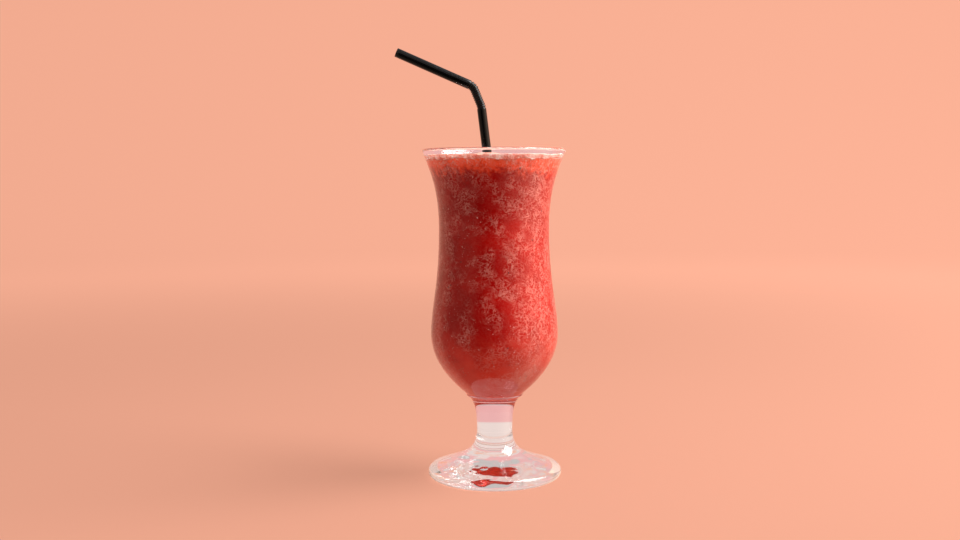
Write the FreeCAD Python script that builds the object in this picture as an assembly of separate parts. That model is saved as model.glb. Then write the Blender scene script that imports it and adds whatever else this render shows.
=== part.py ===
"""Strawberry smoothie in a footed, curved glass with a bent straw.

Millimetres. +Z is up. The origin is on the glass's axis, in the plane of the ring it stands on.
The straw leans and bends in the XZ plane, with its mouthpiece towards -X.
"""

import FreeCAD
import Part

import math
import os

Vector = FreeCAD.Vector

# Glass, outside: radii, and heights above the table.
glass_height = 187.0
rim_radius = 40.4
rim_lean_deg = 22.7       # the wall's lean out from upright where it ends at the rim
waist_radius = 31.3
waist_height = 142.0
bulge_radius = 36.2
bulge_height = 82.5
bowl_base_radius = 16.5   # top of the collar that joins the bowl to the stem
bowl_base_height = 48.2
bowl_base_lean_deg = 48.6
collar_thickness = 1.6    # the collar's height
collar_step = 1.5         # how far the stem lies inside the top of the collar
collar_flare = 1.0        # the step's swelling at its lower edge, as a share of its width
collar_ease = 0.4         # how straight the step runs on into the bowl, as a share of its length
stem_radius = 10.2
stem_height = 27.5        # where the stem is thinnest
stem_top_lean_deg = 48.0
foot_radius = 38.1
foot_edge_radius = 3.2    # rounding of the foot's rim
foot_slope_deg = 19.3     # slope of the foot's top where it meets its rim
rest_ring_width = 3.6     # flat ring the glass stands on
underside_recess = 2.4    # how far the middle of the underside lies above the table

# Glass, inside.
side_wall = 2.0
cavity_floor = 48.4       # lowest point of the inside
floor_roundness = 15.0    # handle of the floor's curve, along the floor
side_roundness = 20.0     # handle of the floor's curve, down the bowl's side

# Handles of the outside's curves: the longer, the further a curve keeps the direction of its end.
bowl_base_handle = 9.0
bulge_lower_handle = 17.0
bulge_upper_handle = 15.7
waist_lower_handle = 31.2
waist_upper_handle = 17.8
rim_handle = 17.0
stem_upper_handle = 9.0
stem_top_handle = 5.2
foot_handle = 19.2
stem_lower_handle = 13.6
underside_middle_share = 0.5  # handles of the underside, as shares of the flat ring's inner radius
underside_ring_share = 0.25

# Contents.
drink_below_rim = 5.2     # top of the red drink
froth_thickness = 1.8
contents_gap = 0.05       # clearance between the contents and the glass or the straw

# Straw.
straw_radius = 2.6
straw_wall = 0.3
straw_at_rim = -4.0       # x of the straw's centre line, level with the glass's rim
straw_lean_deg = 6.9      # lean of the lower leg from upright
flex_above_rim = 22.4     # height of the flexible part's lower end above the rim
flex_lower_bend_radius = 10.0
flex_lower_turn_deg = 15.3  # how far the lower bend turns; the upper bend turns the rest
flex_run = 8.5            # straight stretch of ribs between the two bends
flex_upper_bend_radius = 5.7
rib_count = 13
rib_depth = 0.5           # how far the grooves between the ribs go in
tip_leg_length = 44.6
tip_rise_deg = 23.9       # slope of the upper leg above level
straw_floor_gap = 0.4     # clearance between the straw's end and the inside of the bowl
search_steps = 24         # halvings in the search for the straw's lower end


def at(radius, height):
    return Vector(radius, 0, height)


def lean(degrees, length):
    """A step of this length, leaning out from upright by this angle."""
    angle = math.radians(degrees)
    return Vector(length * math.sin(angle), 0, length * math.cos(angle))


def curve(start, start_handle, end_handle, end):
    """One smooth stretch, leaving start by its handle and arriving at end by its own."""
    bezier = Part.BezierCurve()
    bezier.setPoles([start, start + start_handle, end + end_handle, end])
    return bezier.toShape()


def line(start, end):
    return Part.LineSegment(start, end).toShape()


def arc(start, middle, end):
    return Part.Arc(start, middle, end).toShape()


def upright(length):
    return Vector(0, 0, length)


def revolve(edges):
    outline = Part.Wire(Part.sortEdges(edges)[0])
    face = Part.Face(outline)
    return face.revolve(Vector(0, 0, 0), Vector(0, 0, 1), 360)


def rim_centre():
    """Centre of the half circle that rounds the rim."""
    return at(rim_radius - side_wall / 2, glass_height - side_wall / 2)


def rim_end(side):
    """Where the wall's outer side (1) or inner side (-1) ends and the rim's rounding begins."""
    return rim_centre() + lean(rim_lean_deg + 90, side * side_wall / 2)


def wall_curves(inset, rim_point):
    """The side of the bowl from the bulge past the waist to the rim, moved in by inset."""
    bulge = at(bulge_radius - inset, bulge_height)
    waist = at(waist_radius - inset, waist_height)
    return [
        curve(bulge, upright(bulge_upper_handle), upright(-waist_lower_handle), waist),
        curve(waist, upright(waist_upper_handle), lean(rim_lean_deg, -rim_handle), rim_point),
    ]


def foot_edges():
    """The underside, the flat ring it stands on, the rounded edge and the sloping top."""
    middle = at(0, underside_recess)
    edge_centre = at(foot_radius - foot_edge_radius, foot_edge_radius)
    ring_outer = at(edge_centre.x, 0)
    ring_inner = at(edge_centre.x - rest_ring_width, 0)
    level = Vector(ring_inner.x * underside_middle_share, 0, 0)
    dip = Vector(-ring_inner.x * underside_ring_share, 0, underside_recess / 2)
    edge_top = edge_centre + lean(foot_slope_deg, foot_edge_radius)
    uphill = lean(foot_slope_deg - 90, foot_handle)
    stem = at(stem_radius, stem_height)
    return [
        curve(middle, level, dip, ring_inner),
        line(ring_inner, ring_outer),
        arc(ring_outer, edge_centre + at(foot_edge_radius, 0), edge_top),
        curve(edge_top, uphill, upright(-stem_lower_handle), stem),
    ]


def stem_edges():
    """The stem above its thinnest point, and the collar that carries the bowl."""
    stem = at(stem_radius, stem_height)
    stem_top = at(bowl_base_radius - collar_step, bowl_base_height - collar_thickness)
    bowl_base = at(bowl_base_radius, bowl_base_height)
    collar = bowl_base - stem_top
    outward = Vector(collar.x * collar_flare, 0, 0)
    return [
        curve(stem, upright(stem_upper_handle), lean(stem_top_lean_deg, -stem_top_handle), stem_top),
        curve(stem_top, outward, collar * -collar_ease, bowl_base),
    ]


def bowl_edges():
    bowl_base = at(bowl_base_radius, bowl_base_height)
    bulge = at(bulge_radius, bulge_height)
    start = lean(bowl_base_lean_deg, bowl_base_handle)
    rounded = curve(bowl_base, start, upright(-bulge_lower_handle), bulge)
    return [rounded] + wall_curves(0, rim_end(1))


def cavity_edges(gap):
    """The inside of the glass from the middle of its floor to the rim, drawn in by gap."""
    floor = at(0, cavity_floor + gap)
    bulge = at(bulge_radius - side_wall - gap, bulge_height)
    rim_point = rim_end(-1) - at(gap, 0)
    rounded = curve(floor, at(floor_roundness, 0), upright(-side_roundness), bulge)
    return [rounded] + wall_curves(side_wall + gap, rim_point)


def make_glass():
    rim_rounding = arc(rim_end(1), rim_centre() + lean(rim_lean_deg, side_wall / 2), rim_end(-1))
    axis = line(at(0, cavity_floor), at(0, underside_recess))
    outside = foot_edges() + stem_edges() + bowl_edges()
    return revolve(outside + [rim_rounding] + cavity_edges(0) + [axis])


def make_contents():
    """All that the glass could hold up to its rim, clear of the wall."""
    rim_point = rim_end(-1) - at(contents_gap, 0)
    middle_top = at(0, rim_point.z)
    middle_floor = at(0, cavity_floor + contents_gap)
    closing = [line(rim_point, middle_top), line(middle_top, middle_floor)]
    return revolve(cavity_edges(contents_gap) + closing)


def slab(bottom, top):
    """A round slab wider than the glass between two heights."""
    return Part.makeCylinder(2 * rim_radius, top - bottom, at(0, bottom))


def straw_line(height):
    """The lower leg's centre at a height."""
    drop = glass_height - height
    return at(straw_at_rim + drop * math.tan(math.radians(straw_lean_deg)), height)


def straw_direction():
    """The way up the lower leg."""
    return lean(-straw_lean_deg, 1)


def straw_end(glass):
    """The lowest point of the centre line where a square-cut end is still clear of the bowl."""
    clear = bulge_height
    blocked = cavity_floor
    for _ in range(search_steps):
        middle = (clear + blocked) / 2
        rim = Part.Circle(straw_line(middle), straw_direction(), straw_radius)
        if rim.toShape().distToShape(glass)[0] > straw_floor_gap:
            clear = middle
        else:
            blocked = middle
    return straw_line(clear)


def flex_upper_turn():
    """The angle that the upper bend turns, in degrees."""
    return 90 - straw_lean_deg - flex_lower_turn_deg - tip_rise_deg


def arc_length(radius, turn_deg):
    return radius * math.radians(turn_deg)


def bend(point, leaning, radius, along):
    """Where a point with this lean comes to, this far round an arc towards the mouthpiece."""
    turned = math.degrees(along / radius)
    to_centre = lean(-leaning - 90, radius)
    from_centre = lean(90 - leaning - turned, radius)
    return point + to_centre + from_centre, leaning + turned


def flex_lengths():
    """Length of the lower bend, of the straight run and of the upper bend."""
    lower = arc_length(flex_lower_bend_radius, flex_lower_turn_deg)
    upper = arc_length(flex_upper_bend_radius, flex_upper_turn())
    return lower, flex_run, upper


def flex_point(along):
    """The centre line's point and direction, this far up the flexible part."""
    lower, run, upper = flex_lengths()
    in_lower = min(along, lower)
    in_run = min(max(along - lower, 0), run)
    in_upper = min(max(along - lower - run, 0), upper)
    start = straw_line(glass_height + flex_above_rim)
    point, leaning = bend(start, straw_lean_deg, flex_lower_bend_radius, in_lower)
    point = point + lean(-leaning, in_run)
    point, leaning = bend(point, leaning, flex_upper_bend_radius, in_upper)
    return point, lean(-leaning, 1)


def flex_length():
    return sum(flex_lengths())


def straw_sections(end):
    """Centre, direction and depth of groove of each ring along the straw, from its lower end."""
    sections = [(end, straw_direction(), 0)]
    half_pitch = flex_length() / (2 * rib_count)
    for step in range(2 * rib_count + 1):
        point, direction = flex_point(step * half_pitch)
        sections.append((point, direction, rib_depth * (step % 2)))
    point, direction = flex_point(flex_length())
    sections.append((point + direction * tip_leg_length, direction, 0))
    return sections


def tube(sections, radius):
    rings = []
    for centre, direction, groove in sections:
        rings.append(Part.Wire(Part.Circle(centre, direction, radius - groove).toShape()))
    return Part.makeLoft(rings, True, True)


def make_straw(end):
    sections = straw_sections(end)
    bore = tube(sections, straw_radius - straw_wall)
    return tube(sections, straw_radius).cut(bore)


def straw_hole(end):
    """The round way that the straw takes through the contents, a clearance wider and deeper."""
    bottom = end - straw_direction() * contents_gap
    length = (straw_line(glass_height) - bottom).Length
    return Part.makeCylinder(straw_radius + contents_gap, length, bottom, straw_direction())


def export(shape, name):
    if not shape.isValid() or len(shape.Solids) != 1:
        raise ValueError(name + " is not one valid solid")
    shape.Solids[0].exportStep(os.path.join("parts", name + ".step"))
    print(name, round(shape.Volume / 1000, 2), "ml")


def main():
    os.makedirs("parts", exist_ok=True)
    glass = make_glass()
    end = straw_end(glass)
    contents = make_contents().cut(straw_hole(end))
    drink_top = glass_height - drink_below_rim
    froth_top = drink_top + froth_thickness
    export(glass, "glass")
    export(contents.common(slab(0, drink_top)), "smoothie")
    export(contents.common(slab(drink_top, froth_top)), "froth")
    export(make_straw(end), "straw")


main()
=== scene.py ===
import itertools

import bpy
import numpy as np
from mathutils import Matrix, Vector


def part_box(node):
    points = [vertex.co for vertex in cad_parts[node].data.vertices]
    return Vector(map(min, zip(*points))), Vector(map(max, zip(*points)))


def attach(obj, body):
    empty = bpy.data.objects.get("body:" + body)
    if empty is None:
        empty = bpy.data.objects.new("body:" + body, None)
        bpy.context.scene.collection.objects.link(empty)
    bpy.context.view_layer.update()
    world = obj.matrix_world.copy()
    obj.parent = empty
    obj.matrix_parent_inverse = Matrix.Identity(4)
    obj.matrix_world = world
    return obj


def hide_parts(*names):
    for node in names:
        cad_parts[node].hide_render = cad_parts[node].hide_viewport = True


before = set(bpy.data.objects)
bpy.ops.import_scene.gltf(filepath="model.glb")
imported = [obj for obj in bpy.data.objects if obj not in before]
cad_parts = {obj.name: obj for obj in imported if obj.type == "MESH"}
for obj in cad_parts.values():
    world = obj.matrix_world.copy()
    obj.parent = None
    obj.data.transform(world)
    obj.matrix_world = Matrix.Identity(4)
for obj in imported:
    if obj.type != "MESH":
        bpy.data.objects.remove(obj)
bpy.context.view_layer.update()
mm = 0.001  # the pieces' dictionaries are in millimetres, and the studio's and Blender's own sizes in metres

rimRadius, _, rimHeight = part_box("glass")[1]
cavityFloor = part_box("smoothie")[0].z
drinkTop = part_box("smoothie")[1].z
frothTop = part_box("froth")[1].z
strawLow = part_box("straw")[0].z


# shared shape tools

def bezier(start, startHandle, endHandle, end, count):
    # cubic curve that leaves start along its handle and arrives at end along its own, without its last point
    t = np.linspace(0, 1, count, endpoint=False)[:, None]
    first = start + startHandle
    last = end + endHandle
    return (1 - t) ** 3 * start + 3 * (1 - t) ** 2 * t * first + 3 * (1 - t) * t ** 2 * last + t ** 3 * end


def point(radius, height):
    # a corner of a section that is turned round the Z axis
    return np.array([radius, height], float)


def lean(degrees, length):
    # a step of this length that leans out from upright by this angle
    angle = np.radians(degrees)
    return length * np.array([np.sin(angle), np.cos(angle)])


def turned(outline, around):
    # surface of revolution: each (radius, height) of the outline carried once round the Z axis
    angle = np.linspace(0, 2 * np.pi, around, endpoint=False)
    x = outline[:, :1] * np.cos(angle)
    y = outline[:, :1] * np.sin(angle)
    z = np.repeat(outline[:, 1:], around, axis=1)
    return np.stack([x, y, z], axis=2)


scramble = (73856093, 19349663, 83492791)  # large primes, one for each axis of the lattice
seedScramble = 40503
lastScramble = 1274126177


def latticeNoise(points, cell, seed):
    # value noise from -1 to 1: a random number at each corner of a cubic lattice, eased between the eight
    # corners round a point
    scaledPoints = points / cell
    corner0 = np.floor(scaledPoints).astype(np.int64)
    ease = scaledPoints - corner0
    ease = ease * ease * (3 - 2 * ease)
    total = np.zeros(points.shape[:-1])
    for step in itertools.product((0, 1), repeat=3):
        corner = corner0 + np.array(step)
        mixed = seed * seedScramble
        for axis in range(3):
            mixed = mixed ^ corner[..., axis] * scramble[axis]
        mixed = (mixed ^ (mixed >> 13)) * lastScramble
        value = ((mixed ^ (mixed >> 16)) & 65535) / 65535
        weight = np.prod(np.where(np.array(step) == 1, ease, 1 - ease), axis=-1)
        total += weight * value
    return total * 2 - 1


def makePiece(name, verts, faceArrays, material):
    # an object at the origin with these corners and faces in its mesh, shaded smooth
    mesh = bpy.data.meshes.new(name)
    faces = [face for array in faceArrays for face in array.tolist()]
    mesh.from_pydata(verts.reshape(-1, 3).tolist(), [], faces)
    mesh.polygons.foreach_set("use_smooth", np.ones(len(mesh.polygons), bool))
    mesh.materials.append(material)
    mesh.update()
    piece = bpy.data.objects.new(name, mesh)
    bpy.context.scene.collection.objects.link(piece)
    return piece


def gridFaces(index, wrapRows):
    # four-sided faces between neighbouring rings of a grid of vertex numbers; each ring closes on itself
    lower = index if wrapRows else index[:-1]
    upper = np.roll(index, -1, axis=0) if wrapRows else index[1:]
    faces = np.stack([lower, np.roll(lower, -1, axis=1), np.roll(upper, -1, axis=1), upper], axis=2)
    return faces.reshape(-1, 4)


def makeTurned(name, grid, material, closeStart=True):
    # skin of rings, whose last ring, and mostly its first one too, is filled by a fan round its middle
    rows, around = grid.shape[:2]
    index = np.arange(rows * around).reshape(rows, around)
    last = index[-1]
    fan = np.stack([last, np.roll(last, -1), np.full(around, rows * around)], axis=1)
    verts = [grid.reshape(-1, 3), grid[-1:].mean(axis=1)]
    faces = [gridFaces(index, False), fan]
    if closeStart:
        first = index[0]
        verts.append(grid[:1].mean(axis=1))
        faces.append(np.stack([np.roll(first, -1), first, np.full(around, rows * around + 1)], axis=1))
    return makePiece(name, np.concatenate(verts), faces, material)


def blobMesh():
    # eight-sided solid whose faces are each cut in four and pushed out to a ball: 18 corners, 32 faces
    corners = np.array([[1, 0, 0], [0, 1, 0], [-1, 0, 0], [0, -1, 0], [0, 0, 1], [0, 0, -1]], float)
    sides = [(0, 1, 4), (1, 2, 4), (2, 3, 4), (3, 0, 4), (1, 0, 5), (2, 1, 5), (3, 2, 5), (0, 3, 5)]
    verts = list(corners)
    faces = []
    middle = {}

    def halfway(a, b):
        key = (min(a, b), max(a, b))
        if key not in middle:
            middle[key] = len(verts)
            verts.append((corners[a] + corners[b]) / np.linalg.norm(corners[a] + corners[b]))
        return middle[key]

    for a, b, c in sides:
        ab, bc, ca = halfway(a, b), halfway(b, c), halfway(c, a)
        faces += [(a, ab, ca), (b, bc, ab), (c, ca, bc), (ab, bc, ca)]
    return np.array(verts), np.array(faces)


def scatterBlobs(name, places, axes, sizes, roughness, rng, material):
    # one joined mesh of lumps: a ball with each corner moved in or out at random, then stretched along its
    # three axes
    ball, faces = blobMesh()
    count = len(places)
    uneven = 1 + roughness * (rng.random((count, len(ball), 1)) * 2 - 1)
    local = ball[None] * uneven * sizes[:, None, :]
    verts = places[:, None, :] + np.einsum("nvk,nkx->nvx", local, axes)
    allFaces = (faces[None] + (np.arange(count) * len(ball))[:, None, None]).reshape(-1, 3)
    piece = makePiece(name, verts, [allFaces], material)
    tint = np.repeat(rng.random(count), len(ball)).astype(np.float32)
    piece.data.attributes.new("tint", "FLOAT", "POINT").data.foreach_set("value", tint)
    return piece


# shared material tools

times = {"operation": "MULTIPLY"}
plus = {"operation": "ADD"}
minus = {"operation": "SUBTRACT"}
smooth = {"interpolation_type": "SMOOTHSTEP"}
ofColours = {"data_type": "RGBA"}  # a Mix node's colour inputs are then its numbers 6 and 7


def linear(hexColour):
    # sRGB hex to linear light
    values = np.array([int(hexColour[k:k + 2], 16) / 255 for k in (1, 3, 5)])
    values = np.where(values <= 0.04045, values / 12.92, ((values + 0.055) / 1.055) ** 2.4)
    return (*values.tolist(), 1.0)


def scaled(hexColour, strength):
    # a colour in linear light times a strength
    return tuple(channel * strength for channel in linear(hexColour)[:3]) + (1.0,)


def perMm(size):
    # a texture node's scale for a pattern of this size in millimetres
    return 1 / (size * mm)


def addNode(tree, kind, settings=None, inputs=None):
    # one node: settings are its own properties; inputs are values, sockets to link, or nodes to link by the
    # first output that they have in use
    node = tree.nodes.new("ShaderNode" + kind)
    for key, value in (settings or {}).items():
        if key == "stops":
            ramp = node.color_ramp.elements
            for number, (place, colour) in enumerate(value):
                stop = ramp[number] if number < 2 else ramp.new(place)
                stop.position = place
                stop.color = linear(colour) if isinstance(colour, str) else (colour, colour, colour, 1)
        else:
            setattr(node, key, value)
    for key, value in (inputs or {}).items():
        if isinstance(value, bpy.types.Node):
            value = next(socket for socket in value.outputs if socket.enabled)
        if isinstance(value, bpy.types.NodeSocket):
            tree.links.new(value, node.inputs[key])
        else:
            node.inputs[key].default_value = value
    return node


def newMaterial(name):
    # an empty material, its nodes, and the place on the piece that its patterns are laid by
    material = bpy.data.materials.new(name)
    material.use_nodes = True
    tree = material.node_tree
    tree.nodes.clear()
    return material, tree, addNode(tree, "TexCoord").outputs["Object"]


# glass

glassShape = {
    "rimLean": 22.7, "rimBead": 1.0, "wall": 2.0,
    "waistRadius": 31.3, "waistHeight": 142.0,
    "bulgeRadius": 36.2, "bulgeHeight": 82.5,
    "bowlBaseRadius": 16.5, "bowlBaseHeight": 48.2, "bowlBaseLean": 48.6,
    "collarThickness": 1.6, "collarStep": 1.5, "collarFlare": 1.0, "collarEase": 0.4,
    "stemRadius": 10.2, "stemHeight": 27.5, "stemTopLean": 48.0,
    "footRadius": 38.1, "footEdge": 3.2, "footSlope": 19.3, "restRing": 3.6,
    "recess": 2.4, "recessFlat": 0.5, "recessEase": 0.25,  # the hollow underside
    "floorRoundness": 15.0, "sideRoundness": 20.0,
    "drinkClearance": 0.05,                                # between the cavity's floor and the drink's box
    # how far each curve keeps to the direction of its start, and of its end
    "footHandles": (19.2, 13.6), "stemHandles": (9.0, 5.2), "bowlHandles": (9.0, 17.0),
    "lowerWallHandles": (15.7, 31.2), "upperWallHandles": (17.8, 17.0),
    "around": 288,
    # ripples that the press leaves in the foot
    "rippleSize": 6.5, "fineRipple": 0.45,                 # the finer one's size, as a share
    "underRipple": 0.26, "underLift": 0.6, "underTop": 2.5, "underFade": 3.0,
    "topRipple": 0.3, "topLow": 3.9, "topHigh": 20.0, "topFade": 10.0,
}


def wallCurves(inset, end, count):
    # the bowl's side: bulge to waist to rim, both stretches upright where they meet
    shape = glassShape
    bulge = point(shape["bulgeRadius"] - inset, shape["bulgeHeight"])
    waist = point(shape["waistRadius"] - inset, shape["waistHeight"])
    leave, arrive = shape["lowerWallHandles"]
    lower = bezier(bulge, lean(0, leave), lean(0, -arrive), waist, count)
    leave, arrive = shape["upperWallHandles"]
    upper = bezier(waist, lean(0, leave), lean(shape["rimLean"], -arrive), end, count)
    return [lower, upper]


def rimPoint(side):
    # where the wall meets the rim's round bead: outside at 1, inside at -1
    shape = glassShape
    centre = point(rimRadius / mm - shape["rimBead"], rimHeight / mm - shape["rimBead"])
    return centre + lean(shape["rimLean"] + 90, side * shape["rimBead"])


def cavityOutline(gap):
    # inside of the glass from its floor's middle to the rim: a rounded floor, then the wall's curves
    shape = glassShape
    floor = point(0, cavityFloor / mm - shape["drinkClearance"] + gap)
    bulge = point(shape["bulgeRadius"] - shape["wall"] - gap, shape["bulgeHeight"])
    end = rimPoint(-1) - point(gap, 0)
    leave = point(shape["floorRoundness"], 0)
    rounded = bezier(floor, leave, lean(0, -shape["sideRoundness"]), bulge, count=60)
    return np.concatenate([rounded] + wallCurves(shape["wall"] + gap, end, count=50) + [end[None]]) * mm


def glassOutline():
    # once round the section, in curves and arcs between the named radii and heights, from the middle of the
    # underside by the foot's edge, the outside and the rim to the middle of the inside's floor
    shape = glassShape
    edge = point(shape["footRadius"] - shape["footEdge"], shape["footEdge"])
    ringInner = point(edge[0] - shape["restRing"], 0)
    easing = point(-ringInner[0] * shape["recessEase"], shape["recess"] / 2)
    under = bezier(point(0, shape["recess"]), ringInner * shape["recessFlat"], easing, ringInner, count=50)
    ring = np.linspace(ringInner, point(edge[0], 0), num=6, endpoint=False)
    slopes = np.linspace(180, shape["footSlope"], num=14)
    edgeRound = np.array([edge + lean(slope, shape["footEdge"]) for slope in slopes])

    stem = point(shape["stemRadius"], shape["stemHeight"])
    leave, arrive = shape["footHandles"]
    footTop = bezier(edgeRound[-1], lean(shape["footSlope"] - 90, leave), lean(0, -arrive), stem, count=60)
    bowlBase = point(shape["bowlBaseRadius"], shape["bowlBaseHeight"])
    stemTop = bowlBase - point(shape["collarStep"], shape["collarThickness"])
    collar = bowlBase - stemTop
    leave, arrive = shape["stemHandles"]
    stemUp = bezier(stem, lean(0, leave), lean(shape["stemTopLean"], -arrive), stemTop, count=30)
    outward = collar * (shape["collarFlare"], 0)
    collarUp = bezier(stemTop, outward, collar * -shape["collarEase"], bowlBase, count=12)

    bulge = point(shape["bulgeRadius"], shape["bulgeHeight"])
    leave, arrive = shape["bowlHandles"]
    bowl = bezier(bowlBase, lean(shape["bowlBaseLean"], leave), lean(0, -arrive), bulge, count=44)
    outerEnd = rimPoint(1)
    bead = outerEnd - lean(shape["rimLean"] + 90, shape["rimBead"])
    slopes = np.linspace(shape["rimLean"] + 90, shape["rimLean"] - 90, num=16)
    rim = np.array([bead + lean(slope, shape["rimBead"]) for slope in slopes])
    outside = [under[1:], ring, edgeRound[:-1], footTop, stemUp, collarUp, bowl]
    inside = cavityOutline(0)[::-1][1:-1] / mm
    return np.concatenate(outside + wallCurves(0, outerEnd, count=50) + [rim, inside]) * mm


def makeGlass(material):
    # the section turned round, with ripples of two sizes added to the foot's height: deep in the underside,
    # where they fade towards the ring it stands on, and fainter in the top, where they fade towards the stem
    shape = glassShape
    grid = turned(glassOutline(), shape["around"])
    radius = np.hypot(grid[..., 0], grid[..., 1])
    ripple = latticeNoise(grid, shape["rippleSize"] * mm, seed=3)
    ripple = ripple + 0.5 * latticeNoise(grid, shape["rippleSize"] * shape["fineRipple"] * mm, seed=4)
    height = grid[..., 2]
    ringInner = (shape["footRadius"] - shape["footEdge"] - shape["restRing"]) * mm
    isUnder = (height < shape["underTop"] * mm) & (radius < ringInner)
    fade = np.clip((ringInner - radius) / (shape["underFade"] * mm), 0, 1)
    height += isUnder * fade * shape["underRipple"] * mm * (ripple + shape["underLift"])
    isTop = (height > shape["topLow"] * mm) & (height < shape["topHigh"] * mm)
    fade = np.clip((shape["topHigh"] * mm - height) / (shape["topFade"] * mm), 0, 1)
    height += isTop * shape["topRipple"] * shape["underRipple"] * mm * ripple * fade
    return makeTurned("glassBody", grid, material)


def pressedGlass():
    # soda-lime glass, machine pressed and fire polished: clear and smooth, with long faint waves in its skin
    # and a trace of handling that dulls it in places
    material, tree, place = newMaterial("pressed soda-lime glass")
    wave = addNode(tree, "TexNoise", inputs={"Vector": place, "Scale": perMm(14), "Detail": 1.5})
    bump = addNode(tree, "Bump", inputs={"Strength": 0.05, "Distance": 0.3 * mm, "Height": wave})
    smear = addNode(tree, "TexNoise", inputs={"Vector": place, "Scale": perMm(22), "Detail": 4.0})
    dull = addNode(tree, "MapRange", inputs={
        "Value": smear, "From Min": 0.45, "From Max": 0.8, "To Min": 0.0, "To Max": 0.035})
    glass = addNode(tree, "BsdfPrincipled", inputs={
        "Base Color": linear("#fdfdfd"), "Roughness": dull, "IOR": 1.52, "Transmission Weight": 1.0,
        "Normal": bump})
    # lamp light passes, dimmed a little, so that what stands in the glass is lit
    clear = addNode(tree, "BsdfTransparent", inputs={"Color": linear("#f1eeee")})
    path = addNode(tree, "LightPath").outputs
    mix = addNode(tree, "MixShader", inputs={0: path["Is Shadow Ray"], 1: glass, 2: clear})
    addNode(tree, "OutputMaterial", inputs={"Surface": mix})
    return material


# red slush

slushShape = {
    "reach": 0.12,       # how far the drink goes into the wall, so that no gap shows
    "around": 288, "sideRings": 300, "topRings": 39,
    "innermost": 0.5,    # radius of the smallest ring
    "floorRise": 6.0,    # below this height the rings keep to the floor's own points
    "relief": 0.06, "grain": 1.3, "fineGrain": 0.7, "fineShare": 0.6,
}
slushFields = {          # soft random fields: size, shift to a place of its own in metres, detail, distortion
    "tone": (20, 0.4, 3.0, 0.0),
    "cluster": (10, 0.2, 3.0, 0.0),
    "settled": (8, 1.3, 3.0, 0.0),
    "ragged": (3.5, 1.7, 3.0, 0.0),
    "flecks": (1.2, 0.7, 3.0, 0.4),
    "wideThreads": (5.0, 0.5, 2.5, 0.8),
    "fineThreads": (2.4, 0.9, 2.5, 0.8),
}


def innerRadius(height):
    # the cavity's radius at this height, read off its outline
    outline = cavityOutline(0)
    return np.interp(height, outline[:, 1], outline[:, 0])


def makeSlush(material):
    # the cavity's outline filled to the level of the drink, a hair into the wall, and pushed in or out by
    # a fine grain
    shape = slushShape
    outline = cavityOutline(-shape["reach"])
    side = outline[(outline[:, 1] < drinkTop) & (outline[:, 0] > shape["innermost"] * mm)]
    floorEnd = side[0, 1] + shape["floorRise"] * mm
    heights = np.linspace(floorEnd, drinkTop, shape["sideRings"])
    upper = np.stack([np.interp(heights, outline[:, 1], outline[:, 0]), heights], axis=1)
    lower = side[side[:, 1] < floorEnd]
    edgeRadius, edgeHeight = upper[-1]
    radii = np.linspace(edgeRadius, shape["innermost"] * mm, shape["topRings"] + 1)[1:]
    top = np.stack([radii, np.full(len(radii), edgeHeight)], axis=1)
    grid = turned(np.concatenate([lower, upper, top]), shape["around"])
    grain = latticeNoise(grid, shape["grain"] * mm, seed=11)
    grain = grain + shape["fineShare"] * latticeNoise(grid, shape["fineGrain"] * mm, seed=12)
    radius = np.hypot(grid[..., 0], grid[..., 1])[..., None]
    outward = grid * (1, 1, 0) / np.maximum(radius, mm)
    grid = grid + outward * (grain * shape["relief"] * mm)[..., None]
    return makeTurned("redSlush", grid, material)


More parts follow.
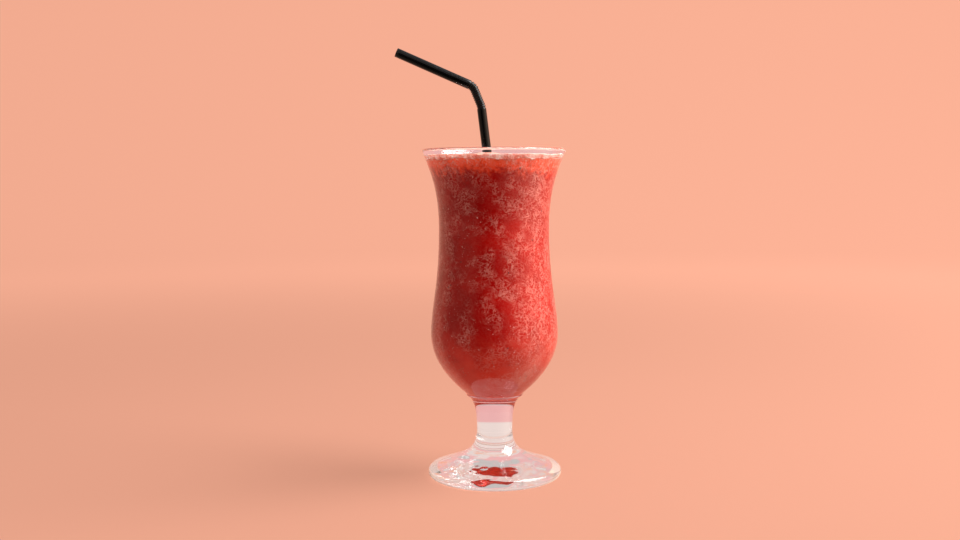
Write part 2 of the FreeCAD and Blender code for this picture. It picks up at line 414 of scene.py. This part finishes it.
def strawberrySlush():
    # blended frozen strawberries: dark red syrup between pale crystals of ice, which lie in webs and clouds;
    # wet and slightly see-through, so light spreads under its skin
    material, tree, place = newMaterial("strawberry ice slush")
    position = addNode(tree, "SeparateXYZ", inputs={0: place}).outputs
    field = {}
    for name, (size, shift, detail, distortion) in slushFields.items():
        moved = addNode(tree, "VectorMath", plus, {0: place, 1: (shift, 0.3 * shift, -shift)})
        field[name] = addNode(tree, "TexNoise", inputs={
            "Vector": moved, "Scale": perMm(size), "Detail": detail, "Distortion": distortion})

    # webs gather in clusters, and cover more of the right side: painted light, as the key lamp on that side
    # shows them up
    # painted light: paler webs towards +X, the side the key lamp lights
    litSideIce = addNode(tree, "MapRange", smooth, {
        "Value": position["X"], "From Min": 0.0, "From Max": 26 * mm, "To Max": 0.12})
    cluster = addNode(tree, "Math", plus, {0: field["cluster"], 1: litSideIce})
    cluster = addNode(tree, "MapRange", smooth, {"Value": cluster, "From Min": 0.4, "From Max": 0.66})
    # thin curling threads where a field passes through its middle value
    for name, width in (("wideThreads", 0.04), ("fineThreads", 0.065)):
        middle = addNode(tree, "Math", minus, {0: field[name], 1: 0.5})
        middle = addNode(tree, "Math", {"operation": "ABSOLUTE"}, {0: middle, 1: 0.0})
        field[name] = addNode(tree, "MapRange", smooth, {"Value": middle, "From Min": width, "From Max": 0.0})
    fine = addNode(tree, "Math", times, {0: field["fineThreads"], 1: 0.8})
    threads = addNode(tree, "Math", {"operation": "MAXIMUM"}, {0: field["wideThreads"], 1: fine})
    flecks = addNode(tree, "MapRange", smooth, {"Value": field["flecks"], "From Min": 0.54, "From Max": 0.66})
    webs = addNode(tree, "Math", times, {0: cluster, 1: 0.46})
    webs = addNode(tree, "Math", plus, {0: webs, 1: 0.05})
    webs = addNode(tree, "Math", times, {0: threads, 1: webs})
    dust = addNode(tree, "Math", times, {0: cluster, 1: 0.2})
    dust = addNode(tree, "Math", plus, {0: dust, 1: 0.03})
    dust = addNode(tree, "Math", times, {0: flecks, 1: dust})
    ice = addNode(tree, "Math", plus, {0: webs, 1: dust})

    # two tones of syrup at random; low in the bowl it is paler, partly painted light from the bright floor
    # below and partly finer slush, and has less ice there
    tone = addNode(tree, "MapRange", smooth, {"Value": field["tone"], "From Min": 0.35, "From Max": 0.7})
    base = addNode(tree, "Mix", ofColours, {"Factor": tone, 6: linear("#ab0301"), 7: linear("#c01008")})
    uneven = {}
    for name, depth in (("settled", 0.03), ("ragged", 0.018)):
        middle = addNode(tree, "Math", minus, {0: field[name], 1: 0.5})
        offset = addNode(tree, "Math", times, {0: middle, 1: depth})
        uneven[name] = addNode(tree, "Math", plus, {0: position["Z"], 1: offset})
    lower = addNode(tree, "MapRange", smooth, {
        "Value": uneven["settled"], "From Min": 90 * mm, "From Max": 60 * mm})
    # paler low down: partly painted light bounced up from the floor, partly finer slush
    paleAndFloorLit = addNode(tree, "Math", times, {0: lower, 1: 0.9})
    base = addNode(tree, "Mix", ofColours, {"Factor": paleAndFloorLit, 6: base, 7: linear("#e64632")})

    # painted light near the top, where the froth lets light in: brighter syrup and brighter flecks; and foamy
    # just under the froth
    upper = addNode(tree, "MapRange", smooth, {
        "Value": uneven["ragged"], "From Min": drinkTop - 11 * mm, "From Max": drinkTop - 3 * mm})
    # painted light: the syrup turns bright orange towards the top
    base = addNode(tree, "Mix", ofColours, {"Factor": upper, 6: base, 7: linear("#ff5530")})
    topGlowFlecks = addNode(tree, "Math", times, {0: upper, 1: flecks})
    topGlowFlecks = addNode(tree, "Math", times, {0: topGlowFlecks, 1: 0.3})
    ice = addNode(tree, "Math", plus, {0: ice, 1: topGlowFlecks})
    foamy = addNode(tree, "MapRange", smooth, {
        "Value": uneven["ragged"], "From Min": drinkTop - 5 * mm, "From Max": drinkTop + 1 * mm})
    foam = addNode(tree, "Math", times, {0: flecks, 1: 0.6})
    foam = addNode(tree, "Math", plus, {0: foam, 1: 0.15})
    foam = addNode(tree, "Math", times, {0: foamy, 1: foam})
    ice = addNode(tree, "Math", plus, {0: ice, 1: foam})
    fewer = addNode(tree, "Math", times, {0: lower, 1: 0.5})
    fewer = addNode(tree, "Math", minus, {0: 1.0, 1: fewer})
    ice = addNode(tree, "Math", times, {0: ice, 1: fewer})

    share = addNode(tree, "Math", {"operation": "MINIMUM"}, {0: ice, 1: 0.75})
    colour = addNode(tree, "Mix", ofColours, {"Factor": share, 6: base, 7: linear("#f0a390")})
    bump = addNode(tree, "Bump", inputs={"Strength": 0.35, "Distance": 0.4 * mm, "Height": ice})
    skin = addNode(tree, "BsdfPrincipled", inputs={
        "Base Color": colour, "Roughness": 0.4, "IOR": 1.34, "Specular IOR Level": 0.02,
        "Subsurface Weight": 0.35, "Subsurface Radius": (1.0, 0.22, 0.16), "Subsurface Scale": 3.0 * mm,
        "Normal": bump})
    addNode(tree, "OutputMaterial", inputs={"Surface": skin})
    return material


# ice grains in the slush, and strawberry seeds

grainShape = {
    "count": 3600,
    "halfLengths": (0.25, 0.75), "halfThickness": 0.22,
    "slimmest": 0.35, "slimmer": 0.5,        # width as a share of the length: from the first, up to their sum
    "sunk": 0.05,
    "aboveFloor": 3.0, "belowTop": 9.0,
    "patchSize": 9.0, "threshold": 0.1,      # grains lie where a patchy noise is above the threshold
    "roughness": 0.3,
}
seedShape = {
    "count": 26,
    "halfLength": 0.65, "halfWidth": 0.38, "halfThickness": 0.32,
    "aboveFloor": 20.0, "belowTop": 1.0,
    "patchSize": 30.0, "threshold": -0.4,
    "roughness": 0.08,
}


def wallPlaces(rng, shape):
    # random places on the inside of the wall, equally dense all over, kept where a patchy noise is high
    lowest = cavityFloor + shape["aboveFloor"] * mm
    highest = drinkTop - shape["belowTop"] * mm
    count = shape["count"]
    places = np.zeros((0, 3))
    while len(places) < count:
        angle = rng.random(count) * 2 * np.pi
        height = lowest + rng.random(count) * (highest - lowest)
        radius = innerRadius(height)
        keep = rng.random(count) < radius / innerRadius(rimHeight)
        spot = np.stack([radius * np.cos(angle), radius * np.sin(angle), height], axis=1)
        patches = latticeNoise(spot, shape["patchSize"] * mm, seed=21)
        patches = patches + 0.7 * latticeNoise(spot, 3 * mm, seed=22)
        keep &= patches > shape["threshold"]
        places = np.concatenate([places, spot[keep]])
    return places[:count]


def wallAxes(places, turn):
    # for each place: along the wall (turned by an angle), across it, and out of it
    around = np.arctan2(places[:, 1], places[:, 0])
    step = 0.2 * mm
    slope = (innerRadius(places[:, 2] + step) - innerRadius(places[:, 2] - step)) / (2 * step)
    length = np.sqrt(1 + slope ** 2)
    out = np.stack([np.cos(around) / length, np.sin(around) / length, -slope / length], axis=1)
    level = np.stack([-np.sin(around), np.cos(around), np.zeros(len(places))], axis=1)
    up = np.cross(out, level)
    cosine = np.cos(turn)[:, None]
    sine = np.sin(turn)[:, None]
    return np.stack([level * cosine + up * sine, up * cosine - level * sine, out], axis=1)


def makeGrains(material):
    # flat lumps of random length and width that lie against the wall, mostly small
    shape = grainShape
    count = shape["count"]
    rng = np.random.default_rng(5)
    places = wallPlaces(rng, shape)
    axes = wallAxes(places, rng.random(count) * np.pi)
    small, large = shape["halfLengths"]
    length = small + (large - small) * rng.random(count) ** 2
    width = length * (shape["slimmest"] + shape["slimmer"] * rng.random(count))
    sizes = np.stack([length, width, np.full(count, shape["halfThickness"])], axis=1) * mm
    places = places - axes[:, 2] * shape["sunk"] * mm
    return scatterBlobs("iceGrains", places, axes, sizes, shape["roughness"], rng, material)


def clearIce():
    # a crushed ice crystal soaked in strawberry syrup: pale pink, wet, brighter where it is thin
    material, tree, place = newMaterial("crushed ice in syrup")
    tint = addNode(tree, "Attribute", {"attribute_name": "tint"}).outputs["Fac"]
    stops = [(0.0, "#a8261d"), (0.55, "#c96656"), (1.0, "#ecb3a6")]
    colour = addNode(tree, "ValToRGB", {"stops": stops}, {0: tint})
    vein = addNode(tree, "TexNoise", inputs={"Vector": place, "Scale": perMm(0.8), "Detail": 2.0})
    rough = addNode(tree, "MapRange", inputs={"Value": vein, "To Min": 0.2, "To Max": 0.5})
    ice = addNode(tree, "BsdfPrincipled", inputs={
        "Base Color": colour, "Roughness": rough, "IOR": 1.31, "Specular IOR Level": 0.25,
        "Subsurface Weight": 0.4, "Subsurface Radius": (1.0, 0.4, 0.3), "Subsurface Scale": 1.0 * mm})
    addNode(tree, "OutputMaterial", inputs={"Surface": ice})
    return material


def makeSeeds(material):
    # nearly even lumps of one size that lie against the wall
    shape = seedShape
    rng = np.random.default_rng(8)
    places = wallPlaces(rng, shape)
    axes = wallAxes(places, rng.random(shape["count"]) * np.pi)
    size = [shape["halfLength"], shape["halfWidth"], shape["halfThickness"]]
    sizes = np.tile(size, (shape["count"], 1)) * mm
    return scatterBlobs("strawberrySeeds", places, axes, sizes, shape["roughness"], rng, material)


def seedHull():
    # a strawberry's seed, a hard dry hull that the syrup has stained from tan to brown-black
    material, tree, place = newMaterial("strawberry seed hull")
    tint = addNode(tree, "Attribute", {"attribute_name": "tint"}).outputs["Fac"]
    fleck = addNode(tree, "TexNoise", inputs={"Vector": place, "Scale": perMm(0.5), "Detail": 2.0})
    both = addNode(tree, "Math", times, {0: tint, 1: fleck})
    stops = [(0.0, "#1c0604"), (0.5, "#5a1a0c"), (1.0, "#a5713a")]
    colour = addNode(tree, "ValToRGB", {"stops": stops}, {0: both})
    hull = addNode(tree, "BsdfPrincipled", inputs={"Base Color": colour, "Roughness": 0.45})
    addNode(tree, "OutputMaterial", inputs={"Surface": hull})
    return material


# froth

frothShape = {
    "reach": 0.16,                                # how far it goes into the wall
    "around": 288, "underRings": 12, "sideRings": 7, "topRings": 109,
    "innermost": 0.02, "topInnermost": 0.01,      # the smallest rings, as shares of the edge
    "lowEdge": 0.35,                              # how far below the drink's level it reaches
    "ragged": 1.7, "raggedSize": 5.0, "fineRagged": 1.8, "raggedRadius": 36.0,  # how the lower edge wanders
    "swell": 0.45, "swellSize": 11.0,             # long soft humps
    "lumps": 0.3, "lumpSize": 3.6,
    "grit": 0.13, "gritSize": 1.2,
    "meniscus": 0.5, "meniscusWidth": 1.1,
    "strawHump": 1.9, "humpWidth": 8.0,           # froth that has climbed round the straw
    "settled": 0.25,
}


def makeFroth(material):
    # a layer whose lower edge wanders down the wall, and whose top is humps, lumps and grit added together,
    # drawn up where it wets the wall and the straw
    shape = frothShape
    reach = shape["reach"] * mm
    angle = np.linspace(0, 2 * np.pi, shape["around"], endpoint=False)
    ring = np.stack([np.cos(angle), np.sin(angle), np.zeros_like(angle)], axis=1)
    circle = ring * shape["raggedRadius"] * mm
    wander = latticeNoise(circle, shape["raggedSize"] * mm, seed=31)
    wander = wander + 0.6 * latticeNoise(circle, shape["fineRagged"] * mm, seed=32)
    lowEdge = drinkTop - shape["lowEdge"] * mm + wander * shape["ragged"] * 0.5 * mm

    def topHeight(x, y):
        # noise of three sizes, and a rise that dies away from the wall and one that dies away from the straw
        spot = np.stack([x, y, np.zeros_like(x)], axis=-1)
        toWall = innerRadius(frothTop) - np.hypot(x, y)
        wall = np.exp(-toWall / (shape["meniscusWidth"] * mm)) * shape["meniscus"]
        toStraw = np.maximum(np.hypot(x - strawX, y) - strawShape["radius"] * mm, 0)
        straw = shape["strawHump"] * np.exp(-(toStraw / (shape["humpWidth"] * mm)) ** 2)
        rough = shape["swell"] * latticeNoise(spot, shape["swellSize"] * mm, seed=33)
        rough += shape["lumps"] * latticeNoise(spot, shape["lumpSize"] * mm, seed=34)
        rough += shape["grit"] * latticeNoise(spot, shape["gritSize"] * mm, seed=35)
        return frothTop + (rough + wall + straw - shape["settled"]) * mm

    rows = []
    for share in np.linspace(shape["innermost"], 1, shape["underRings"]):
        radius = share * (innerRadius(drinkTop) + reach)
        rows.append(np.stack([ring[:, 0] * radius, ring[:, 1] * radius, lowEdge], axis=1))
    edgeX, edgeY, _ = (ring * (innerRadius(frothTop) + reach)).T
    topEdge = topHeight(edgeX, edgeY)
    for share in np.linspace(0, 1, shape["sideRings"] + 1)[1:]:
        height = lowEdge + (topEdge - lowEdge) * share
        radius = innerRadius(height) + reach
        rows.append(np.stack([ring[:, 0] * radius, ring[:, 1] * radius, height], axis=1))
    for share in np.linspace(1, shape["topInnermost"], shape["topRings"] + 1)[1:]:
        x = edgeX * share
        y = edgeY * share
        rows.append(np.stack([x, y, topHeight(x, y)], axis=1))
    return makeTurned("paleFroth", np.array(rows), material)


def strawberryFroth():
    # fine foam of fruit and air on a blended drink: pale pink, wet and matt, full of tiny bubbles
    material, tree, place = newMaterial("strawberry froth")
    bubbles = addNode(tree, "TexVoronoi", {"feature": "F1"}, {
        "Vector": place, "Scale": perMm(0.9), "Randomness": 1.0}).outputs["Distance"]
    patch = addNode(tree, "TexNoise", inputs={"Vector": place, "Scale": perMm(4), "Detail": 4.0})
    both = addNode(tree, "Math", {"operation": "MULTIPLY_ADD"}, {0: bubbles, 1: 0.35, 2: patch})
    # the drink soaks up into the foam, so its lower edge is redder
    height = addNode(tree, "SeparateXYZ", inputs={0: place}).outputs["Z"]
    soaked = addNode(tree, "MapRange", inputs={
        "Value": height, "From Min": drinkTop - 1.2 * mm, "From Max": drinkTop + 1.2 * mm,
        "To Min": -0.17, "To Max": 0.0})
    both = addNode(tree, "Math", plus, {0: both, 1: soaked})
    stops = [(0.34, "#d9583f"), (0.54, "#ea8f7a"), (0.72, "#f5c3b3"), (0.9, "#fbe0d6")]
    colour = addNode(tree, "ValToRGB", {"stops": stops}, {0: both})
    bump = addNode(tree, "Bump", inputs={"Strength": 0.6, "Distance": 0.3 * mm, "Height": bubbles})
    foam = addNode(tree, "BsdfPrincipled", inputs={
        "Base Color": colour, "Roughness": 0.42, "IOR": 1.34, "Subsurface Weight": 0.5,
        "Subsurface Radius": (1.0, 0.5, 0.4), "Subsurface Scale": 1.6 * mm, "Normal": bump})
    addNode(tree, "OutputMaterial", inputs={"Surface": foam})
    return material


# straw

strawShape = {
    "radius": 2.6, "wall": 0.3, "lean": 6.9, "atRim": -4.0,
    "flexAboveRim": 22.4,                          # where the ribs begin
    "lowerBendRadius": 10.0, "lowerTurn": 15.3, "run": 8.5, "upperBendRadius": 5.7,
    "tipRise": 23.9, "tipLength": 44.6,
    "ribs": 13, "ribDepth": 0.5, "ribSharpness": 3,
    "around": 48, "lowerRings": 30, "ringsPerRib": 10, "tipRings": 20,
}
strawX = strawShape["atRim"] * mm


def leaning(angle):
    # unit steps towards the mouthpiece at these leans from upright, in radians
    return np.stack([-np.sin(angle), np.zeros_like(angle), np.cos(angle)], axis=1)


def strawPath(along):
    # centre line, direction and the ribbed stretch's length, at each distance along from where the ribs
    # begin: a straight leg, an arc, a straight run, an arc and a straight leg; an arc's chord is its radius
    # times the difference of its end normals
    shape = strawShape
    start = np.radians(shape["lean"])
    middle = start + np.radians(shape["lowerTurn"])
    end = np.radians(90 - shape["tipRise"])
    lower = shape["lowerBendRadius"] * (middle - start)
    upper = shape["upperBendRadius"] * (end - middle)
    inLower = np.clip(along, 0, lower)
    inUpper = np.clip(along - lower - shape["run"], 0, upper)
    bent = start + inLower / shape["lowerBendRadius"]
    heading = bent + inUpper / shape["upperBendRadius"]
    flexHeight = rimHeight / mm + shape["flexAboveRim"]
    origin = np.array([shape["atRim"] - shape["flexAboveRim"] * np.tan(start), 0, flexHeight])
    quarter = np.pi / 2
    path = origin + np.minimum(along, 0)[:, None] * leaning(np.array([start]))
    path = path + shape["lowerBendRadius"] * (leaning(np.array([start + quarter])) - leaning(bent + quarter))
    path = path + np.clip(along - lower, 0, shape["run"])[:, None] * leaning(np.array([middle]))
    top = np.maximum(heading, middle) + quarter
    path = path + shape["upperBendRadius"] * (leaning(np.array([middle + quarter])) - leaning(top))
    path = path + np.maximum(along - lower - shape["run"] - upper, 0)[:, None] * leaning(np.array([end]))
    return path, leaning(heading), lower + shape["run"] + upper


def makeStraw(material):
    # a tube: at each step along the path a ring square to it, whose radius dips between the ribs; out along
    # the outside and back along the bore
    shape = strawShape
    flexLength = strawPath(np.zeros(1))[2]
    endHeight = strawLow / mm + shape["radius"] * np.sin(np.radians(shape["lean"]))
    flexHeight = rimHeight / mm + shape["flexAboveRim"]
    lowerLeg = (flexHeight - endHeight) / np.cos(np.radians(shape["lean"]))
    below = np.linspace(-lowerLeg, 0, shape["lowerRings"], endpoint=False)
    flex = np.linspace(0, flexLength, shape["ribs"] * shape["ringsPerRib"], endpoint=False)
    above = np.linspace(flexLength, flexLength + shape["tipLength"], shape["tipRings"])
    along = np.concatenate([below, flex, above])
    inFlex = (along >= 0) & (along <= flexLength)
    phase = np.clip(along, 0, flexLength) / flexLength * shape["ribs"]
    groove = np.abs(np.sin(np.pi * phase)) ** shape["ribSharpness"]
    dip = np.where(inFlex, shape["ribDepth"] * groove, 0)
    centre, direction, _ = strawPath(along)
    across = np.cross(direction, (0, 1, 0))
    angle = np.linspace(0, 2 * np.pi, shape["around"], endpoint=False)
    spoke = across[:, None, :] * np.cos(angle)[None, :, None]
    spoke = spoke + np.array([0, 1, 0]) * np.sin(angle)[None, :, None]
    outer = centre[:, None, :] + spoke * (shape["radius"] - dip)[:, None, None]
    inner = centre[:, None, :] + spoke * (shape["radius"] - shape["wall"] - dip)[:, None, None]
    grid = np.concatenate([outer, inner[::-1]]) * mm
    index = np.arange(grid.shape[0] * shape["around"]).reshape(grid.shape[0], shape["around"])
    return makePiece("bentStraw", grid, [gridFaces(index, True)[:, ::-1]], material)


def blackPolypropylene():
    # polypropylene, extruded: deep glossy black, with faint draw lines along it
    material, tree, place = newMaterial("extruded black polypropylene")
    smear = addNode(tree, "TexNoise", inputs={"Vector": place, "Scale": perMm(7), "Detail": 4.0})
    rough = addNode(tree, "MapRange", inputs={"Value": smear, "To Min": 0.12, "To Max": 0.22})
    stretch = addNode(tree, "Mapping", inputs={"Vector": place, "Scale": (1.0, 1.0, 0.05)})
    lines = addNode(tree, "TexNoise", inputs={"Vector": stretch, "Scale": perMm(0.5), "Detail": 2.0})
    bump = addNode(tree, "Bump", inputs={"Strength": 0.1, "Distance": 0.05 * mm, "Height": lines})
    tone = addNode(tree, "ValToRGB", {"stops": [(0.3, "#030303"), (0.7, "#080708")]}, {0: smear})
    plastic = addNode(tree, "BsdfPrincipled", inputs={
        "Base Color": tone, "Roughness": rough, "IOR": 1.49, "Normal": bump})
    addNode(tree, "OutputMaterial", inputs={"Surface": plastic})
    return material


# studio

studio = {
    # what the camera sees: the share of the light that the paper sends back, and its own glow near the glass,
    # and far off at left and right, brighter at right: painted light from the key lamp's side
    "paper": "#fcb397", "paperLit": 0.25, "floorOwn": 0.53, "wallGlowLitRight": (0.71, 0.96),
    "glowNear": 0.35, "glowFar": 1.6,       # the distances between which the one glow becomes the other
    # what shows through the glass: near the foot, further away, and in front
    "seenThrough": ("#f2ddd6", "#f4b6b4", "#b3a5a3"),
    "nearEdge": 0.18, "nearSoft": 0.02,     # where the first gives way to the others
    # painted reflection: how bright the paper glows for rays mirrored off the glass, from the far left (0) by
    # the middle (0.5) to the far right (1); dim in front, and brightest at the far right as light on that
    # side
    "mirror": [
        (0.0, 0.24), (0.16, 0.22), (0.24, 0.03), (0.5, 0.02),
        (0.66, 0.25), (0.78, 0.5), (0.9, 0.9), (1.0, 1.5)],
    "mirrorColour": "#ffe0c4",
    "floorRadius": 3.0, "wallHeight": 1.3, "coveRadius": 0.9, "innermost": 0.02, "around": 96,
    "roomColour": "#fff6f2", "roomStrength": 0.42, "roomSeenThrough": 0.6,
    "floorBounce": 1.2,                     # how strongly the floor near the foot lights the bowl from below
    "keyAzimuth": 87, "keyElevation": 47, "keyDistance": 1.2, "keySize": (0.9, 0.9), "keyRadiance": 10.9,
    "keyAimHeight": 0.1,
    "cameraDistance": 0.640, "cameraHeight": 0.170, "cameraSide": -0.0078,
    "cameraPitch": 4.6, "cameraRoll": 0.25, "lens": 42.32,
}


def paperBackdrop():
    # seamless studio paper, matt, with a tooth drawn as coarse as it needs to show; most of its brightness is
    # its own glow, brighter at right as painted light; glass shows it as a pale glow, and mirrors it as a
    # painted
    # reflection of a room: dark in front, bright at right, and as the paper itself behind the glass
    material, tree, place = newMaterial("matt paper backdrop")
    tooth = addNode(tree, "TexNoise", inputs={"Vector": place, "Scale": perMm(1.2), "Detail": 2.0})
    bump = addNode(tree, "Bump", inputs={"Strength": 0.05, "Distance": 0.2 * mm, "Height": tooth})
    path = addNode(tree, "LightPath").outputs

    # how far a point of the paper is from the glass, and to which side: 0 at left and 1 at right
    away = addNode(tree, "VectorMath", {"operation": "LENGTH"}, {0: place})
    toward = addNode(tree, "VectorMath", {"operation": "NORMALIZE"}, {0: place})
    direction = addNode(tree, "SeparateXYZ", inputs={0: toward}).outputs
    side = addNode(tree, "MapRange", inputs={"Value": direction["X"], "From Min": -1.0, "From Max": 1.0})
    beyond = addNode(tree, "MapRange", inputs={
        "Value": away, "From Min": studio["nearEdge"], "From Max": studio["nearEdge"] + studio["nearSoft"]})
    distant = addNode(tree, "MapRange", smooth, {
        "Value": away, "From Min": studio["glowNear"], "From Max": studio["glowFar"]})

    near, far, front = studio["seenThrough"]
    inFront = addNode(tree, "MapRange", inputs={"Value": direction["Y"], "From Min": -0.1, "From Max": -0.35})
    through = addNode(tree, "Mix", ofColours, {"Factor": inFront, 6: linear(far), 7: linear(front)})
    through = addNode(tree, "Mix", ofColours, {"Factor": beyond, 6: linear(near), 7: through})

    # the wall's own glow, dimmer at left and brighter at right: painted light from the key lamp's side
    shadedLeftWall, litRightWall = (scaled(studio["paper"], own) for own in studio["wallGlowLitRight"])
    brightest = max(brightness for _, brightness in studio["mirror"])
    stops = [(at, brightness / brightest) for at, brightness in studio["mirror"]]
    # painted reflection: the glow that rays mirrored off the glass meet, dark in front and bright at right
    mirror = addNode(tree, "ValToRGB", {"stops": stops}, {0: side})
    mirror = addNode(tree, "VectorMath", times, {0: mirror, 1: scaled(studio["mirrorColour"], brightest)[:3]})
    behind = addNode(tree, "MapRange", inputs={"Value": direction["Y"], "From Min": 0.05, "From Max": 0.45})
    mirror = addNode(tree, "Mix", ofColours, {"Factor": behind, 6: mirror, 7: litRightWall})

    wall = addNode(tree, "Mix", ofColours, {"Factor": side, 6: shadedLeftWall, 7: litRightWall})
    own = addNode(tree, "Mix", ofColours, {
        "Factor": distant, 6: scaled(studio["paper"], studio["floorOwn"]), 7: wall})

    # each kind of ray meets its own glow; the last one that applies counts
    shine = addNode(tree, "Mix", ofColours, {
        "Factor": beyond, 6: scaled(near, studio["floorBounce"]),
        7: scaled(studio["roomColour"], studio["roomStrength"])})
    for ray, glow in (("Is Glossy Ray", mirror), ("Is Transmission Ray", through), ("Is Camera Ray", own)):
        shine = addNode(tree, "Mix", ofColours, {"Factor": path[ray], 6: shine, 7: glow})
    base = addNode(tree, "Mix", ofColours, {
        "Factor": path["Is Camera Ray"], 6: (0, 0, 0, 1), 7: scaled(studio["paper"], studio["paperLit"])})
    paper = addNode(tree, "BsdfPrincipled", inputs={
        "Base Color": base, "Roughness": 0.9, "Specular IOR Level": 0.0,
        "Emission Color": shine, "Emission Strength": 1.0, "Normal": bump})
    addNode(tree, "OutputMaterial", inputs={"Surface": paper})
    return material


def makePaper(material):
    # floor and round backdrop in one: a flat disc that curves up into a wall all round, facing inwards
    cove = studio["coveRadius"]
    wallRadius = studio["floorRadius"]
    flatRadius = wallRadius - cove
    flat = np.stack([np.linspace(studio["innermost"], flatRadius, num=12), np.zeros(12)], axis=1)
    curve = np.array([(flatRadius, cove) + lean(slope, cove) for slope in np.linspace(180, 90, num=24)])
    wall = np.stack([np.full(6, wallRadius), np.linspace(cove, studio["wallHeight"], num=6)], axis=1)
    grid = turned(np.concatenate([flat, curve[1:], wall[1:]])[::-1], studio["around"])
    return makeTurned("paperSweep", grid, material, closeStart=False)


def addKeyLamp(name):
    # a lamp behind a flat diffuser, aimed at the middle of the glass; its watts follow from the brightness of
    # its face
    light = bpy.data.lights.new(name, "AREA")
    light.shape = "RECTANGLE"
    width, height = studio["keySize"]
    light.size = width
    light.size_y = height
    light.energy = studio["keyRadiance"] * np.pi * width * height
    lamp = bpy.data.objects.new(name, light)
    turn = np.radians(studio["keyAzimuth"])
    rise = np.radians(studio["keyElevation"])
    aim = Vector((np.sin(turn) * np.cos(rise), -np.cos(turn) * np.cos(rise), np.sin(rise)))
    lamp.location = Vector((0, 0, studio["keyAimHeight"])) + aim * studio["keyDistance"]
    lamp.rotation_euler = aim.to_track_quat("Z", "Y").to_euler()
    lamp.visible_camera = False
    bpy.context.scene.collection.objects.link(lamp)


def makeRoom():
    # even light from the room, dimmer than what shows through the glass
    world = bpy.data.worlds.new("soft room light")
    world.use_nodes = True
    tree = world.node_tree
    tree.nodes.clear()
    path = addNode(tree, "LightPath").outputs
    strength = addNode(tree, "MapRange", inputs={
        "Value": path["Is Transmission Ray"],
        "To Min": studio["roomStrength"], "To Max": studio["roomSeenThrough"]})
    background = addNode(tree, "Background", inputs={
        "Color": linear(studio["roomColour"]), "Strength": strength})
    addNode(tree, "OutputWorld", inputs={"Surface": background})
    bpy.context.scene.world = world


def makeStudio():
    # room, lamp and camera
    makeRoom()
    addKeyLamp("keyRight")
    camera = bpy.data.objects.new("camera", bpy.data.cameras.new("camera"))
    camera.data.lens = studio["lens"]
    camera.location = (studio["cameraSide"], -studio["cameraDistance"], studio["cameraHeight"])
    camera.rotation_euler = (np.radians(90 - studio["cameraPitch"]), np.radians(studio["cameraRoll"]), 0)
    scene = bpy.context.scene
    scene.collection.objects.link(camera)
    scene.camera = camera
    scene.view_settings.view_transform = "Standard"
    # light goes round inside the thick foot many times before it comes out
    scene.cycles.max_bounces = 32
    scene.cycles.glossy_bounces = 24
    scene.cycles.transmission_bounces = 24


# build

print("glass")
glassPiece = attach(makeGlass(pressedGlass()), "root")
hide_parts("glass")

print("drink")
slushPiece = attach(makeSlush(strawberrySlush()), "root")
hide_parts("smoothie")
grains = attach(makeGrains(clearIce()), "root")
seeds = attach(makeSeeds(seedHull()), "root")

print("froth")
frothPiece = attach(makeFroth(strawberryFroth()), "root")
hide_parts("froth")

print("straw")
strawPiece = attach(makeStraw(blackPolypropylene()), "root")
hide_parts("straw")

print("studio")
makePaper(paperBackdrop())
makeStudio()
